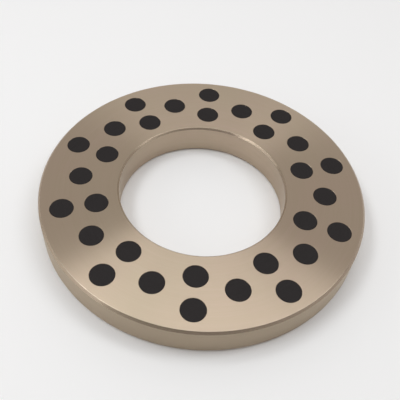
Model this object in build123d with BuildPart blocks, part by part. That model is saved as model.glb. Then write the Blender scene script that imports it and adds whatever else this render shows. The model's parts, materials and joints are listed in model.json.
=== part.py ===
"""Self-lubricating thrust washer: a turned bronze ring with graphite plugs bonded into through holes.

The washer lies flat with its axis on +Z. The origin is on the axis, in the lower sliding face.
Every plug is a solid of its own that fills its own hole and ends flush with both faces.
"""

import os

from build123d import *

# Driving dimensions, in millimetres
outer_diameter = 140.0
bore_diameter = 72.0
thickness = 14.0
rim_chamfer = 1.0  # 45 degree break on both edges of the outside diameter
bore_chamfer = 0.8  # 45 degree break on both edges of the bore
plug_diameter = 10.0
plugs_per_row = 10

# Each row of plugs: its name, the diameter of its pitch circle, and how far its first plug is
# turned from -Y, as a share of the step between two plugs. The middle row sits in the gaps.
plug_rows = [
    ("outer", 121.0, 0.0),
    ("middle", 106.0, 0.5),
    ("inner", 92.0, 0.0),
]

# Derived values
plug_step = 360.0 / plugs_per_row
front = -90.0  # the -Y direction, as an angle from +X

os.makedirs("parts", exist_ok=True)

# The ring: faced, bored and turned to size, its four edges broken, then drilled for the plugs
with BuildPart() as ring:
    with BuildSketch(Plane.XY):
        Circle(outer_diameter / 2)
        Circle(bore_diameter / 2, mode=Mode.SUBTRACT)
    extrude(amount=thickness)
    edges_by_size = ring.edges().filter_by(GeomType.CIRCLE).sort_by(SortBy.RADIUS)
    bore_edges, rim_edges = edges_by_size[:2], edges_by_size[-2:]
    chamfer(bore_edges, bore_chamfer)
    chamfer(rim_edges, rim_chamfer)
    with Locations(Plane.XY.offset(thickness)):
        for _, pitch_diameter, turn in plug_rows:
            with PolarLocations(pitch_diameter / 2, plugs_per_row, front + turn * plug_step):
                Hole(plug_diameter / 2)
ring.part.label = "washer_ring"
export_step(ring.part, "parts/washer_ring.step")

# The plugs: graphite pins, one solid for each hole, as long as the ring is thick
for row, pitch_diameter, turn in plug_rows:
    for index in range(plugs_per_row):
        angle = front + (turn + index) * plug_step
        with BuildPart() as plug:
            with BuildSketch(Plane.XY):
                with PolarLocations(pitch_diameter / 2, 1, angle):
                    Circle(plug_diameter / 2)
            extrude(amount=thickness)
        plug.part.label = f"{row}_row_plug_{index + 1:02d}"
        export_step(plug.part, f"parts/{plug.part.label}.step")
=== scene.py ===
# %% [markdown]
# # A self-lubricating bronze thrust washer
# A thrust washer is a flat ring that keeps a turning collar off a fixed shoulder. This one is bronze, and
# thirty graphite plugs go right through it, so that graphite smears over both faces and no oil is needed.
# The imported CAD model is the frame: it fixes every size, and everything below is made around it in metres.

import json
import math
import random

import bpy
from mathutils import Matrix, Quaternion, Vector


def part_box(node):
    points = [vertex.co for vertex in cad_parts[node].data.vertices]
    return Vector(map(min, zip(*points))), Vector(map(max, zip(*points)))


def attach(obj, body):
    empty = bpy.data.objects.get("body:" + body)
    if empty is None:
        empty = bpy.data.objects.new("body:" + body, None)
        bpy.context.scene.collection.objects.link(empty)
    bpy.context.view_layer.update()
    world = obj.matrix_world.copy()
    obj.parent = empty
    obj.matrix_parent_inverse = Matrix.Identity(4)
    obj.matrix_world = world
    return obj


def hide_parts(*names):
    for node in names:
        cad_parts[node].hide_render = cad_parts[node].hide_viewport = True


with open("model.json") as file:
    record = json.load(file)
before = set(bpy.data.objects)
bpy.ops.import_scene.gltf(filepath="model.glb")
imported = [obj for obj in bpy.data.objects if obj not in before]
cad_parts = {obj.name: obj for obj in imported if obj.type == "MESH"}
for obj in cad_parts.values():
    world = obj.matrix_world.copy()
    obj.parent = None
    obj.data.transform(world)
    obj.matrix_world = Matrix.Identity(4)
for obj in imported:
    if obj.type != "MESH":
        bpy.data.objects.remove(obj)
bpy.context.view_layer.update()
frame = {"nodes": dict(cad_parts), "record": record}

# %% [markdown]
# ## Sizes
# A turned part is known by its diameters, its length and the breaks on its edges. The ring's box gives the
# outside diameter and the thickness. The bore and both chamfers come from the mounts: a mount's length is
# the straight wall between two chamfers, so half of what is missing from the thickness is one chamfer.

# %% Read the turned sizes from the frame
MM = 0.001

mounts = {mount["name"]: mount for mount in frame["record"]["mounts"]}
ring_low, ring_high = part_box("washer_ring")
thickness = ring_high.z - ring_low.z
rim_radius = (ring_high.x - ring_low.x) / 2
bore_radius = mounts["bore"]["dims"]["r_mm"] * MM
bore_chamfer = (thickness - mounts["bore"]["dims"]["length_mm"] * MM) / 2
rim_chamfer = (thickness - mounts["outside_diameter"]["dims"]["length_mm"] * MM) / 2
print(f"ring {2 * rim_radius / MM:.1f} x {2 * bore_radius / MM:.1f} x {thickness / MM:.1f} mm,",
      f"chamfers {rim_chamfer / MM:.2f} and {bore_chamfer / MM:.2f} mm")

# %% Read the plugs' places from the frame
plug_nodes = sorted(name for name in frame["nodes"] if "_plug_" in name)
plug_axes = {}
for name in plug_nodes:
    low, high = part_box(name)
    plug_axes[name] = (low + high) / 2
plug_radius = (high.x - low.x) / 2
print(len(plug_nodes), "plugs,", f"{2 * plug_radius / MM:.1f} mm across")

# %% [markdown]
# ## Three helpers for modelling by hand
# An operator works on whatever is selected, as it does under the mouse. So each piece starts with nothing
# selected, and inside edit mode the next points or faces are picked by where they are.

# %% Helpers for selection and modifiers
def start_piece():
    """Goes to object mode with nothing selected, so that operators meet only what is added next."""
    if bpy.context.object and bpy.context.object.mode != "OBJECT":
        bpy.ops.object.mode_set(mode="OBJECT")
    bpy.ops.object.select_all(action="DESELECT")


def pick(piece, kind, wanted):
    """Selects, in edit mode, the vertices (VERT) or faces (FACE) whose middle point passes a test."""
    bpy.ops.object.mode_set(mode="EDIT")
    bpy.ops.mesh.select_mode(type=kind)
    bpy.ops.mesh.select_all(action="DESELECT")
    bpy.ops.object.mode_set(mode="OBJECT")
    items = piece.data.vertices if kind == "VERT" else piece.data.polygons
    for item in items:
        item.select = wanted(item.co if kind == "VERT" else item.center)
    bpy.ops.object.mode_set(mode="EDIT")


def apply_modifier(piece, kind, **settings):
    """Adds a modifier, sets it and applies it at once."""
    modifier = piece.modifiers.new(kind.lower(), kind)
    for key, value in settings.items():
        setattr(modifier, key, value)
    bpy.context.view_layer.objects.active = piece
    bpy.ops.object.modifier_apply(modifier=modifier.name)


# %% [markdown]
# ## The bronze ring
# The real ring is faced, bored and turned on a lathe, so every surface is one outline swept round the axis.
# A cylinder with a hole cut out would give the shape, but not the broken edges. Here a plane the size of the
# wall's section stands on edge beside the axis, its four corners are cut for the chamfers, and each of the
# eight new corners is rounded a little, because a deburred edge has no knife line: it catches light.

# %% Draw the section of the wall
EDGE_ROUND = 0.14 * MM  # what deburring leaves on each edge of a chamfer
EDGE_STEPS = 3
TURN_STEPS = 360  # one facet a degree: 0.003 mm off a true circle at the rim

start_piece()
wall_width = rim_radius - bore_radius
mid_radius = (rim_radius + bore_radius) / 2
mid_wall = (mid_radius, 0, thickness / 2)
bpy.ops.mesh.primitive_plane_add(size=1, location=mid_wall, rotation=(math.pi / 2, 0, 0))
ring = bpy.context.object
ring.name = "turned_ring"
ring.scale = (wall_width, thickness, 1)
bpy.ops.object.transform_apply(location=True, rotation=True, scale=True)

pick(ring, "VERT", lambda place: place.x < mid_radius)
bpy.ops.mesh.bevel(offset=bore_chamfer, segments=1, affect="VERTICES")
pick(ring, "VERT", lambda place: place.x > mid_radius)
bpy.ops.mesh.bevel(offset=rim_chamfer, segments=1, affect="VERTICES")
pick(ring, "VERT", lambda place: True)
bpy.ops.mesh.bevel(offset=EDGE_ROUND, segments=EDGE_STEPS, affect="VERTICES")
bpy.ops.mesh.select_all(action="SELECT")
bpy.ops.mesh.delete(type="ONLY_FACE")
bpy.ops.object.mode_set(mode="OBJECT")
print("section:", len(ring.data.vertices), "points")

# %% [markdown]
# The outline is now spun once round the axis. The last step lands on the first, so the doubles are merged
# before the normals are pointed outwards.

# %% Spin the section round the axis
MERGE_DISTANCE = 0.001 * MM

bpy.ops.object.mode_set(mode="EDIT")
bpy.ops.mesh.select_all(action="SELECT")
bpy.ops.mesh.spin(steps=TURN_STEPS, angle=2 * math.pi, center=(0, 0, 0), axis=(0, 0, 1))
bpy.ops.mesh.select_all(action="SELECT")
bpy.ops.mesh.remove_doubles(threshold=MERGE_DISTANCE)
bpy.ops.mesh.normals_make_consistent(inside=False)
bpy.ops.object.mode_set(mode="OBJECT")
print("spun ring:", len(ring.data.polygons), "faces")

# %% [markdown]
# ## The holes for the plugs
# On the real ring a drill goes straight through and its mouth is touched with a countersink. The cutter here
# is that tool's shape: a cylinder as long as the straight wall of the hole, with a collar extruded at each
# end that flares by the break on the edge, and a stub that stands clear of the face. One cutter is made, and
# copies of it at all thirty places are joined, so that a single Boolean drills the ring.

# %% Shape one cutter
HOLE_BREAK = 0.10 * MM  # the countersink's touch on each mouth
CLEAR = 1.0 * MM  # how far the cutter stands out of the face
HOLE_SIDES = 72
NEAR = 0.01 * MM  # how close counts as the same height

start_piece()
middle = (0, 0, thickness / 2)
bpy.ops.mesh.primitive_cylinder_add(vertices=HOLE_SIDES, radius=plug_radius,
                                    depth=thickness - 2 * HOLE_BREAK, location=middle)
cutter = bpy.context.object
bpy.ops.object.transform_apply(location=True)
flare = (plug_radius + HOLE_BREAK) / plug_radius
for side in (-1, 1):
    end = thickness / 2 + side * (thickness / 2 - HOLE_BREAK)
    pick(cutter, "FACE", lambda place: abs(place.z - end) < NEAR)
    bpy.ops.mesh.extrude_region_move(TRANSFORM_OT_translate={"value": (0, 0, side * HOLE_BREAK)})
    mouth = end + side * HOLE_BREAK
    bpy.ops.transform.resize(value=(flare, flare, 1), center_override=(0, 0, mouth))
    bpy.ops.mesh.extrude_region_move(TRANSFORM_OT_translate={"value": (0, 0, side * CLEAR)})
bpy.ops.object.mode_set(mode="OBJECT")
print("cutter:", [round(size / MM, 2) for size in cutter.dimensions], "mm")

# %% Drill the ring at all thirty places
start_piece()
for name in plug_nodes:
    drill = bpy.data.objects.new("drill", cutter.data.copy())
    bpy.context.collection.objects.link(drill)
    drill.location = (plug_axes[name].x, plug_axes[name].y, 0)
    drill.select_set(True)
bpy.context.view_layer.objects.active = drill
bpy.ops.object.join()
bpy.ops.object.transform_apply(location=True)
apply_modifier(ring, "BOOLEAN", operation="DIFFERENCE", object=drill, solver="EXACT")
bpy.data.objects.remove(drill)
bpy.data.objects.remove(cutter)
print("drilled ring:", len(ring.data.polygons), "faces")

# %% [markdown]
# Smooth shading would smear light over the flat faces, because each large face shares its corners with thin
# rounded ones. So edges sharper than thirty degrees stay sharp, and a Weighted Normal modifier lets the large
# faces decide: the faces stay flat and only the small rounds turn the light.

# %% Shade the ring
SHARP = math.radians(30)
FACE_WEIGHT = 100  # 50 is neutral, and 100 gives the largest faces the most say


def shade_machined(piece):
    """Smooth rounds and flat faces, as on a machined part."""
    start_piece()
    piece.select_set(True)
    bpy.context.view_layer.objects.active = piece
    bpy.ops.object.shade_smooth_by_angle(angle=SHARP)
    apply_modifier(piece, "WEIGHTED_NORMAL", keep_sharp=True, weight=FACE_WEIGHT)


shade_machined(ring)
print("edges over", round(math.degrees(SHARP)), "degrees stay sharp")

# %% [markdown]
# ## The graphite plugs
# A plug is a graphite pin glued in its hole and faced off with the ring, so it ends flush. Graphite is
# brittle: its edge doesn't turn a burr, it crumbles in tiny chips. The pin is a cylinder with a small bevel
# round both ends. It is a little narrower than its hole, which leaves the hairline of the glue.

# %% Make one plug
GLUE_GAP = 0.02 * MM
PLUG_BREAK = 0.12 * MM

start_piece()
bpy.ops.mesh.primitive_cylinder_add(vertices=HOLE_SIDES, radius=plug_radius - GLUE_GAP,
                                    depth=thickness, location=middle)
plug_pattern = bpy.context.object
bpy.ops.object.transform_apply(location=True)
bpy.ops.object.mode_set(mode="EDIT")
bpy.ops.mesh.select_mode(type="EDGE")
bpy.ops.mesh.select_all(action="DESELECT")
bpy.ops.object.mode_set(mode="OBJECT")
for edge in plug_pattern.data.edges:
    start, end = (plug_pattern.data.vertices[i].co for i in edge.vertices)
    edge.select = abs(start.z - end.z) < NEAR
bpy.ops.object.mode_set(mode="EDIT")
bpy.ops.mesh.bevel(offset=PLUG_BREAK, segments=2, affect="EDGES")
bpy.ops.object.mode_set(mode="OBJECT")
print("plug pattern:", len(plug_pattern.data.polygons), "faces")

# %% [markdown]
# Every hole gets its own copy, turned by chance so that no two look alike. The outer points of its bevels are
# then shaken by a few hundredths of a millimetre. The plug's number is the seed of both, so each run of the
# script crumbles the same plug in the same way.

# %% Copy the plug into every hole and crumble its edges
CHIP = 0.05 * MM
ON_BREAK = 1.1 * PLUG_BREAK  # nearer than this to the hole's wall and to a face are the bevel's outer points

plugs = []
for number, name in enumerate(plug_nodes):
    start_piece()
    row, place_in_row = name.split("_row_plug_")
    plug = bpy.data.objects.new(f"graphite_{row}_row_{place_in_row}", plug_pattern.data.copy())
    bpy.context.collection.objects.link(plug)
    plug.select_set(True)
    bpy.context.view_layer.objects.active = plug
    plug.rotation_euler.z = random.Random(number).uniform(0, 2 * math.pi)
    plug.location = (plug_axes[name].x, plug_axes[name].y, 0)
    bpy.ops.object.transform_apply(location=True, rotation=True)
    axis = Vector((plug_axes[name].x, plug_axes[name].y))
    pick(plug, "VERT", lambda place: (place.xy - axis).length > plug_radius - ON_BREAK
         and abs(place.z - thickness / 2) > thickness / 2 - ON_BREAK)
    bpy.ops.transform.vertex_random(offset=CHIP, seed=number)
    bpy.ops.object.mode_set(mode="OBJECT")
    shade_machined(plug)
    plugs.append((plug, name))
bpy.data.objects.remove(plug_pattern)
print("plugs:", len(plugs))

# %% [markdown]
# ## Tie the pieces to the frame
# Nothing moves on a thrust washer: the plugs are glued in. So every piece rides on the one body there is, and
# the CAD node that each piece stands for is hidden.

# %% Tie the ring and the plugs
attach(ring, "root")
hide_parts("washer_ring")
for plug, name in plugs:
    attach(plug, "root")
    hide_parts(name)
print("tied pieces:", 1 + len(plugs))

# %% [markdown]
# ## Helpers for materials
# Colours are written as sRGB hex, as a colour picker shows them, and the shaders want linear light, so one
# function converts them. A second one adds a node and connects it in the same line, which keeps a material
# readable as a list of steps.

# %% Colour and node helpers
def srgb(code):
    """An sRGB hex colour as the linear red, green, blue and alpha that the shaders take."""
    shares = [int(code[i:i + 2], 16) / 255 for i in (1, 3, 5)]
    linear = [s / 12.92 if s <= 0.04045 else ((s + 0.055) / 1.055) ** 2.4 for s in shares]
    return (*linear, 1.0)


def add_node(tree, kind, settings=None, inputs=None):
    """Adds a shader node, sets its properties, and sets or links its inputs by name or number."""
    node = tree.nodes.new(kind)
    for key, value in (settings or {}).items():
        setattr(node, key, value)
    for key, value in (inputs or {}).items():
        if isinstance(value, bpy.types.NodeSocket):
            tree.links.new(value, node.inputs[key])
        else:
            node.inputs[key].default_value = value
    return node


def new_material(name):
    """An empty material: its node tree and its Principled shader."""
    material = bpy.data.materials.new(name)
    material.use_nodes = True
    return material, material.node_tree, material.node_tree.nodes["Principled BSDF"]


def wear_only(piece, material):
    """Gives a piece one material and nothing else."""
    piece.data.materials.clear()
    piece.data.materials.append(material)


# %% [markdown]
# ## Where the lathe tool went
# Every mark on a turned part is a ring round the axis. So the patterns don't use x, y and z, but lathe
# coordinates: the direction outwards from the axis, the radius, and how far the tool had fed, which is the
# radius on a face and the height on a wall. Noise that is squeezed along the feed and stretched round the
# axis is a set of arcs. The direction, as a point on a small circle, has no seam, which an angle would have.

# %% Lathe coordinates as nodes
HEIGHT_SHARE = 0.6  # not 1, or radius and height would cancel out on a 45 degree chamfer
NO_HEIGHT = (1, 1, 0)


def lathe_coordinates(tree):
    """The object's place, the direction outwards from the axis, the radius, and the feed of the tool."""
    place = add_node(tree, "ShaderNodeTexCoord").outputs["Object"]
    flat = add_node(tree, "ShaderNodeVectorMath", {"operation": "MULTIPLY"},
                    {0: place, 1: NO_HEIGHT}).outputs[0]
    outward = add_node(tree, "ShaderNodeVectorMath", {"operation": "NORMALIZE"}, {0: flat}).outputs[0]
    radius = add_node(tree, "ShaderNodeVectorMath", {"operation": "LENGTH"}, {0: flat}).outputs["Value"]
    height = add_node(tree, "ShaderNodeSeparateXYZ", None, {0: place}).outputs["Z"]
    feed = add_node(tree, "ShaderNodeMath", {"operation": "MULTIPLY_ADD"},
                    {0: height, 1: HEIGHT_SHARE, 2: radius}).outputs[0]
    return place, outward, radius, feed


def lathe_marks(tree, outward, feed, pitch, arcs):
    """Noise drawn out into arcs: pitch is the distance between marks, arcs is how often one breaks off."""
    across = add_node(tree, "ShaderNodeMath", {"operation": "DIVIDE"}, {0: feed, 1: pitch}).outputs[0]
    across = add_node(tree, "ShaderNodeCombineXYZ", None, {"Z": across}).outputs[0]
    around = add_node(tree, "ShaderNodeVectorMath", {"operation": "SCALE"}, {0: outward, "Scale": arcs})
    point = add_node(tree, "ShaderNodeVectorMath", {"operation": "ADD"}, {0: across, 1: around.outputs[0]})
    noise = add_node(tree, "ShaderNodeTexNoise", None, {"Vector": point.outputs[0], "Scale": 1.0})
    return noise.outputs["Fac"]


# %% [markdown]
# Two kinds of node come back below. Map Range spreads a pattern over the values it should give: a noise
# stays mostly between 0.3 and 0.7, so that is its range on the way in. Mix blends two things. It has its
# inputs three times over, so they are taken by number: 2 and 3 for plain numbers, 4 and 5 for directions, 6
# and 7 for colours, and its outputs are 0, 1 and 2 in the same order. Input 0 is the share of the second
# thing.

# %% What a noise gives, and what a Mix blends
NOISE_RANGE = {"From Min": 0.3, "From Max": 0.7}
COLOURS, DIRECTIONS = {"data_type": "RGBA"}, {"data_type": "VECTOR"}

# %% [markdown]
# ## Fine-turned tin bronze
# The ring is cast tin bronze, copper with about a tenth of tin, so it is paler and less yellow than brass. A
# facing cut leaves fine grooves all round. They are too fine to see from an arm's length, but together they
# scatter light across the grooves and not along them, which is why a turned face shows bright and dark wedges
# that point at the axis. Anisotropy does that: the tangent points across the grooves, the way the surface is
# rougher, which is outwards on a face and upwards on a wall.
#
# The real grooves are under 0.1 mm apart. They are drawn 0.25 mm apart, so that they show close up, with
# broader marks at 0.9 mm from a feed that is never quite even. Tin and copper settle unevenly in the casting,
# which gives faint yellow and pink clouds about 30 mm wide.

# %% Lay out the lathe marks
BROAD_PITCH, FINE_PITCH = 0.9 * MM, 0.25 * MM
BROAD_ARCS, FINE_ARCS = 0.8, 3.0
CLOUD_SIZE, CLOUD_DETAIL = 30 * MM, 3.0

bronze, tree, shader = new_material("fine_turned_tin_bronze")
place, outward, radius, feed = lathe_coordinates(tree)
broad = lathe_marks(tree, outward, feed, BROAD_PITCH, BROAD_ARCS)
fine = lathe_marks(tree, outward, feed, FINE_PITCH, FINE_ARCS)
clouds = add_node(tree, "ShaderNodeTexNoise", None,
                  {"Vector": place, "Scale": 1 / CLOUD_SIZE, "Detail": CLOUD_DETAIL})
print("marks every", FINE_PITCH / MM, "and", BROAD_PITCH / MM, "mm")

# %% [markdown]
# Three cuts are taken to have made the surface, each with its own gloss. That is a guess from how such
# washers are turned. The faces and the bore are finished finely. A form tool cuts the chamfers in one pass,
# so they are smoother and carry crisp highlights. The outside diameter only has to clear its housing, so it
# is left a little rougher. Its colour is also painted darker, as painted shade that dims the bright floor it
# reflects. The chamfers are found by their slope and the outside by its radius.

# %% Tell the cuts apart
CHAMFER_SLOPE = math.cos(math.radians(45))
SLOPE_MARGIN = 0.12  # about ten degrees either way
SKIN = 0.05 * MM  # how near the outside diameter counts as on it

facing = add_node(tree, "ShaderNodeTexCoord").outputs["Normal"]
upward = add_node(tree, "ShaderNodeSeparateXYZ", None, {0: facing}).outputs["Z"]
upward = add_node(tree, "ShaderNodeMath", {"operation": "ABSOLUTE"}, {0: upward}).outputs[0]
on_chamfer = add_node(tree, "ShaderNodeMath", {"operation": "COMPARE"},
                      {0: upward, 1: CHAMFER_SLOPE, 2: SLOPE_MARGIN}).outputs[0]
on_outside = add_node(tree, "ShaderNodeMath", {"operation": "COMPARE"},
                      {0: radius, 1: rim_radius, 2: SKIN}).outputs[0]
print("chamfers: slope", round(CHAMFER_SLOPE, 2), "outside: radius", round(rim_radius / MM, 1), "mm")

# %% Colour the bronze
YELLOW_CLOUD, PINK_CLOUD = srgb("#BCAD97"), srgb("#BFAB99")
# The outside diameter's colour is painted shade: darker than the faces, to dim its reflection of the floor.
BROAD_MARK, FINE_MARK, OUTSIDE_PAINTED_SHADE = srgb("#BAA993"), srgb("#B4A28C"), srgb("#B3A38E")
BROAD_SHARE, FINE_SHARE = 0.6, 0.12  # how much of its own colour a mark has

cloud = add_node(tree, "ShaderNodeMapRange", None, {"Value": clouds.outputs["Fac"], **NOISE_RANGE}).outputs[0]
broad_range = {"Value": broad, **NOISE_RANGE, "To Max": BROAD_SHARE}
in_broad = add_node(tree, "ShaderNodeMapRange", None, broad_range).outputs[0]
fine_range = {"Value": fine, **NOISE_RANGE, "To Max": FINE_SHARE}
in_fine = add_node(tree, "ShaderNodeMapRange", None, fine_range).outputs[0]

tint = add_node(tree, "ShaderNodeMix", COLOURS, {0: cloud, 6: YELLOW_CLOUD, 7: PINK_CLOUD}).outputs[2]
tint = add_node(tree, "ShaderNodeMix", COLOURS, {0: in_broad, 6: tint, 7: BROAD_MARK}).outputs[2]
tint = add_node(tree, "ShaderNodeMix", COLOURS, {0: in_fine, 6: tint, 7: FINE_MARK}).outputs[2]
# The outside diameter gets the darker colour, which is painted shade, not a different metal.
tint = add_node(tree, "ShaderNodeMix", COLOURS, {0: on_outside, 6: tint, 7: OUTSIDE_PAINTED_SHADE}).outputs[2]
tree.links.new(tint, shader.inputs["Base Color"])
print("yellow cloud in linear light:", [round(share, 3) for share in YELLOW_CLOUD[:3]])

# %% [markdown]
# The tint is darker than clean bronze measures. It is matched to the strength of the lights below, which are
# set for a pale floor. The finish is satin, and the fine marks vary its roughness by a few hundredths.

# %% Give each cut its gloss
FINISHED_LOW, FINISHED_HIGH = 0.28, 0.32
CHAMFER_ROUGHNESS, OUTSIDE_ROUGHNESS = 0.27, 0.36
ANISOTROPY = 0.92
UP = (0, 0, 1)

gloss_range = {"Value": fine, **NOISE_RANGE, "To Min": FINISHED_LOW, "To Max": FINISHED_HIGH}
gloss = add_node(tree, "ShaderNodeMapRange", None, gloss_range).outputs[0]
gloss = add_node(tree, "ShaderNodeMix", None, {0: on_chamfer, 2: gloss, 3: CHAMFER_ROUGHNESS}).outputs[0]
gloss = add_node(tree, "ShaderNodeMix", None, {0: on_outside, 2: gloss, 3: OUTSIDE_ROUGHNESS}).outputs[0]
tree.links.new(gloss, shader.inputs["Roughness"])
across = add_node(tree, "ShaderNodeMix", DIRECTIONS, {0: upward, 4: UP, 5: outward}).outputs[1]
tree.links.new(across, shader.inputs["Tangent"])
shader.inputs["Metallic"].default_value = 1.0
shader.inputs["Anisotropic"].default_value = ANISOTROPY
print("roughness: faces", FINISHED_LOW, "to", FINISHED_HIGH, "chamfers", CHAMFER_ROUGHNESS,
      "outside", OUTSIDE_ROUGHNESS)

# %% Cut the marks and put the bronze on the ring
BROAD_DEPTH, FINE_DEPTH = 0.004 * MM, 0.0008 * MM

marks = add_node(tree, "ShaderNodeBump", None, {"Height": broad, "Distance": BROAD_DEPTH}).outputs[0]
marks = add_node(tree, "ShaderNodeBump", None, {"Height": fine, "Distance": FINE_DEPTH, "Normal": marks})
tree.links.new(marks.outputs[0], shader.inputs["Normal"])
wear_only(ring, bronze)
print("bronze nodes:", len(tree.nodes))

# %% [markdown]
# ## Pressed graphite
# The plugs are graphite powder pressed with a little resin. The eye gets a soft near-black with a faint grey
# sheen, because flakes lie flat where the facing tool dragged over them. Close up it is a fine grain with a
# few pits where a grain came out. The specular level is set low, so that the plugs stay near-black under the
# overhead light. Real grains are under 0.1 mm, and they are drawn at 0.35 mm.

# %% Lay out the grain, the pits and the drag of the tool
GRAIN_SIZE, PIT_SPACING = 0.35 * MM, 0.8 * MM
PIT_FLOOR, PIT_RIM = 0.05, 0.22  # as shares of the spacing
DRAG_PITCH, DRAG_ARCS = 0.3 * MM, 9.0

graphite, tree, shader = new_material("pressed_graphite")
place, outward, _, feed = lathe_coordinates(tree)
drag = lathe_marks(tree, outward, feed, DRAG_PITCH, DRAG_ARCS)
grain = add_node(tree, "ShaderNodeTexNoise", None, {"Vector": place, "Scale": 1 / GRAIN_SIZE}).outputs["Fac"]
cells = add_node(tree, "ShaderNodeTexVoronoi", None, {"Vector": place, "Scale": 1 / PIT_SPACING})
pit_range = {"Value": cells.outputs["Distance"], "From Min": PIT_FLOOR, "From Max": PIT_RIM}
pits = add_node(tree, "ShaderNodeMapRange", None, pit_range).outputs[0]
print("grains of", GRAIN_SIZE / MM, "mm")

# %% Make the graphite and put it on the plugs
DARK_GRAIN, PALE_GRAIN = srgb("#1B1716"), srgb("#292424")
DRAGGED_SMOOTH, DRAGGED_ROUGH = 0.48, 0.66
GRAIN_DEPTH, PIT_DEPTH = 0.006 * MM, 0.02 * MM
SPECULAR_LEVEL = 0.2

share = add_node(tree, "ShaderNodeMapRange", None, {"Value": grain, **NOISE_RANGE}).outputs[0]
tone = add_node(tree, "ShaderNodeMix", COLOURS, {0: share, 6: DARK_GRAIN, 7: PALE_GRAIN}).outputs[2]
tree.links.new(tone, shader.inputs["Base Color"])
gloss_range = {"Value": drag, **NOISE_RANGE, "To Min": DRAGGED_SMOOTH, "To Max": DRAGGED_ROUGH}
gloss = add_node(tree, "ShaderNodeMapRange", None, gloss_range).outputs[0]
tree.links.new(gloss, shader.inputs["Roughness"])
shader.inputs["Specular IOR Level"].default_value = SPECULAR_LEVEL
relief = add_node(tree, "ShaderNodeBump", None, {"Height": grain, "Distance": GRAIN_DEPTH}).outputs[0]
relief = add_node(tree, "ShaderNodeBump", None, {"Height": pits, "Distance": PIT_DEPTH, "Normal": relief})
tree.links.new(relief.outputs[0], shader.inputs["Normal"])
for plug, _ in plugs:
    wear_only(plug, graphite)
print("graphite nodes:", len(tree.nodes))

# %% [markdown]
# ## The camera
# The washer is looked at from the front and well above, close enough that its far side is plainly smaller.
# A camera is easiest to place by what it looks at, how far it stands back, and its three turns: round the
# object, up from the horizon, and a little roll, because a hand-held camera is never quite level. The lens is
# a normal one, about 50 mm on full frame. It is shifted a little, so its axis runs beside the frame's middle.

# %% Place the camera
LOOK_AT = Vector((-7.5 * MM, -2.9 * MM, thickness / 2))
STAND_BACK = 255.5 * MM
CAMERA_TURN, CAMERA_HEIGHT, CAMERA_ROLL = 1.5, 50.3, 3.7  # degrees
LENS = 52.35  # mm, on a sensor 36 mm wide
SIDEWAYS_SHIFT = 0.04  # of the frame's width
NEAREST = 10 * MM  # what is nearer than this isn't drawn


def backwards(turn, height):
    """The direction from the washer to something turned round from -Y and raised above the horizon."""
    a, e = math.radians(turn), math.radians(height)
    return Vector((math.sin(a) * math.cos(e), -math.cos(a) * math.cos(e), math.sin(e)))


def place_facing(thing, target, turn, height, distance, roll=0.0):
    """Puts a camera or a light at a distance from a target and turns it to look there."""
    back = backwards(turn, height)
    thing.location = target + back * distance
    thing.rotation_mode = "QUATERNION"
    thing.rotation_quaternion = (-back).to_track_quat("-Z", "Y") @ Quaternion((0, 0, 1), math.radians(roll))


start_piece()
bpy.ops.object.camera_add()
camera = bpy.context.object
place_facing(camera, LOOK_AT, CAMERA_TURN, CAMERA_HEIGHT, STAND_BACK, CAMERA_ROLL)
camera.data.lens = LENS
camera.data.shift_x = SIDEWAYS_SHIFT
camera.data.clip_start = NEAREST
bpy.context.scene.camera = camera
print("camera at", [round(place / MM) for place in camera.location], "mm")

# %% [markdown]
# ## Floor
# The washer lies on a sheet of matt white paper, so large that only a low view meets its far edge. The sheet
# is a hair lower than the washer's face, so that no crumbled edge of a plug pokes through it.

# %% Lay the paper
SHEET_SIZE = 6  # metres
SHEET_GAP = 0.05 * MM
PAPER_WHITE = srgb("#FCFBFA")
PAPER_ROUGHNESS = 0.9

start_piece()
bpy.ops.mesh.primitive_plane_add(size=SHEET_SIZE, location=(0, 0, -SHEET_GAP))
floor = bpy.context.object
floor.name = "paper_floor"
paper, tree, shader = new_material("matt_white_paper")
shader.inputs["Base Color"].default_value = PAPER_WHITE
shader.inputs["Roughness"].default_value = PAPER_ROUGHNESS
wear_only(floor, paper)
print("sheet:", SHEET_SIZE, "m wide")

# %% [markdown]
# ## Studio light
# Metal shows what stands round it, so its light is a question of where the bright areas are, not of how
# strong they are. A narrow softbox high behind the washer fills the front wedge of the turned face. One panel
# on the right and two on the left light the sides and the walls, and one overhead reaches into the bore. The
# room has pale walls all round, which fade out between nine and twenty-five degrees up. Higher up it is pale
# behind the washer and dimmer towards the camera, where nobody put a lamp: that keeps the front chamfer dark.
# Its light is a touch warmer than the softboxes'.

# %% Set the room
ROOM_FRONT, ROOM_BACK = 0.18, 0.67  # overhead, on the camera's side and behind the washer
ROOM_WALLS = 0.48
ROOM_COLOUR = srgb("#FFFBF9")
WALL_TOP, WALL_END = 0.15, 0.42  # where the walls start to fade and are gone, as sines of the height

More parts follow.
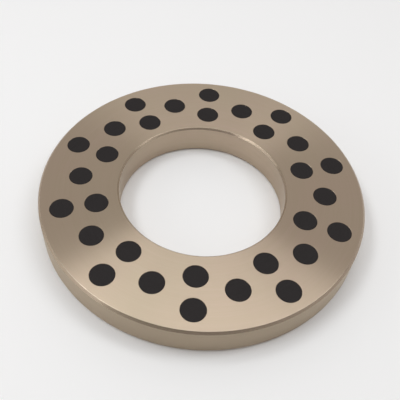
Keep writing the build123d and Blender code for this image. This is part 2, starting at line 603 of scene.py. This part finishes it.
world = bpy.data.worlds.new("studio")
bpy.context.scene.world = world
world.use_nodes = True
tree = world.node_tree
towards = add_node(tree, "ShaderNodeTexCoord").outputs["Generated"]
towards = add_node(tree, "ShaderNodeSeparateXYZ", None, {0: towards})
depth_range = {"Value": towards.outputs["Y"], "From Min": -1, "To Min": ROOM_FRONT, "To Max": ROOM_BACK}
overhead = add_node(tree, "ShaderNodeMapRange", None, depth_range).outputs[0]
height_range = {"Value": towards.outputs["Z"], "From Min": WALL_TOP, "From Max": WALL_END}
above_walls = add_node(tree, "ShaderNodeMapRange", None, height_range).outputs[0]
strength = add_node(tree, "ShaderNodeMix", None, {0: above_walls, 2: ROOM_WALLS, 3: overhead}).outputs[0]
tree.nodes["Background"].inputs["Color"].default_value = ROOM_COLOUR
tree.links.new(strength, tree.nodes["Background"].inputs["Strength"])
print("room strength:", ROOM_FRONT, "to", ROOM_BACK, "and walls", ROOM_WALLS)

# %% Set the softboxes
# name, turn and height in degrees, width and depth in metres, watts
SOFTBOXES = [
    ("back", 181, 71, 0.38, 0.12, 0.52),
    ("right", 104, 61, 0.19, 0.40, 1.22),
    ("left", 276, 62, 0.50, 0.21, 2.0),
    ("left_low", 284, 24, 0.82, 0.30, 0.62),
    ("overhead", 10, 89, 0.47, 0.30, 0.75),
]
LIGHT_DISTANCE = 0.9
LIGHT_COLOUR = srgb("#F8FCFF")[:3]  # daylight tubes, a touch cooler than the room

for name, turn, height, width, depth, watts in SOFTBOXES:
    bpy.ops.object.light_add(type="AREA")
    softbox = bpy.context.object
    softbox.name = f"softbox_{name}"
    place_facing(softbox, Vector(), turn, height, LIGHT_DISTANCE)
    softbox.data.shape = "RECTANGLE"
    softbox.data.size, softbox.data.size_y = width, depth
    softbox.data.energy = watts
    softbox.data.color = LIGHT_COLOUR
print("lights:", len(SOFTBOXES))

# %% [markdown]
# ## Finish
# Plain colour management shows the colours as they were chosen, with no film curve over them.

# %% Set the colour management
bpy.context.scene.view_settings.view_transform = "Standard"
bpy.context.scene.view_settings.look = "None"
